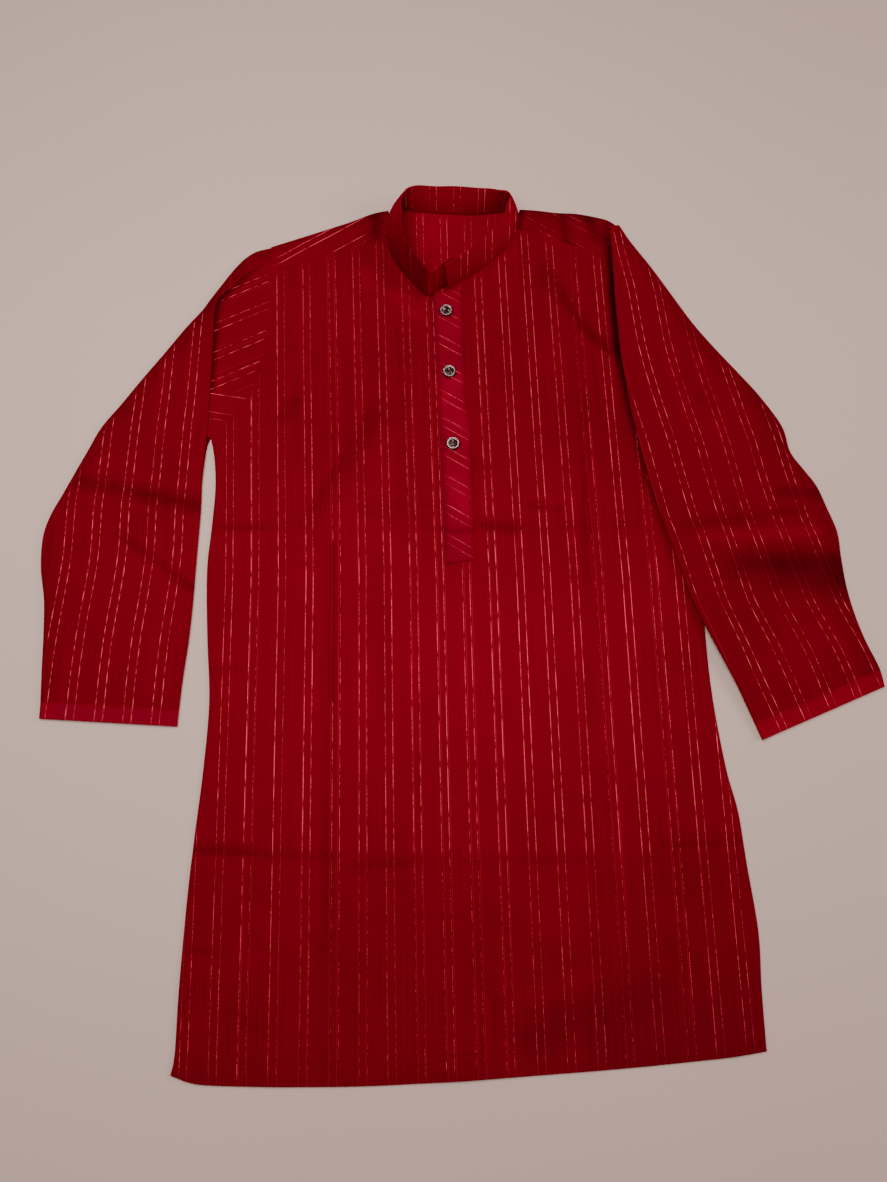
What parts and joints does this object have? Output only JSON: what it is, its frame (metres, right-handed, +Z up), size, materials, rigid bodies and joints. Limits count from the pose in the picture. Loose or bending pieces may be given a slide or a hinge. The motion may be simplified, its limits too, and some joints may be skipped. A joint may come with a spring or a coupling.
{
  "type": "kurta tunic",
  "caption": "Long-sleeved band-collar kurta tunic laid flat, front up, with a half placket closed by small round buttons and one sleeve lying over the front.",
  "frame": {"origin": "centre of the bounding box in plan, at the surface that the garment lies on", "axes": "+X across the chest towards the wearer's left, +Y from the hem to the collar, +Z up from the surface"},
  "size_m": [0.774, 0.8295, 0.0325],
  "materials": {
    "crimson_cloth": "matt striped weave with metallic threads",
    "placket_cloth": "the same cloth cut on the bias",
    "button_metal": "polished rim round a dark centre"
  },
  "bodies": {
    "root": {"back_panel": "crimson_cloth", "front_panel": "crimson_cloth", "yoke": "crimson_cloth", "yoke_lining": "crimson_cloth", "collar": "crimson_cloth", "placket_under": "crimson_cloth", "placket_top": "placket_cloth", "sleeve_left": "crimson_cloth", "sleeve_right": "crimson_cloth", "gusset_left": "crimson_cloth", "button_1": "button_metal", "button_2": "button_metal", "button_3": "button_metal"}
  },
  "joints": []
}
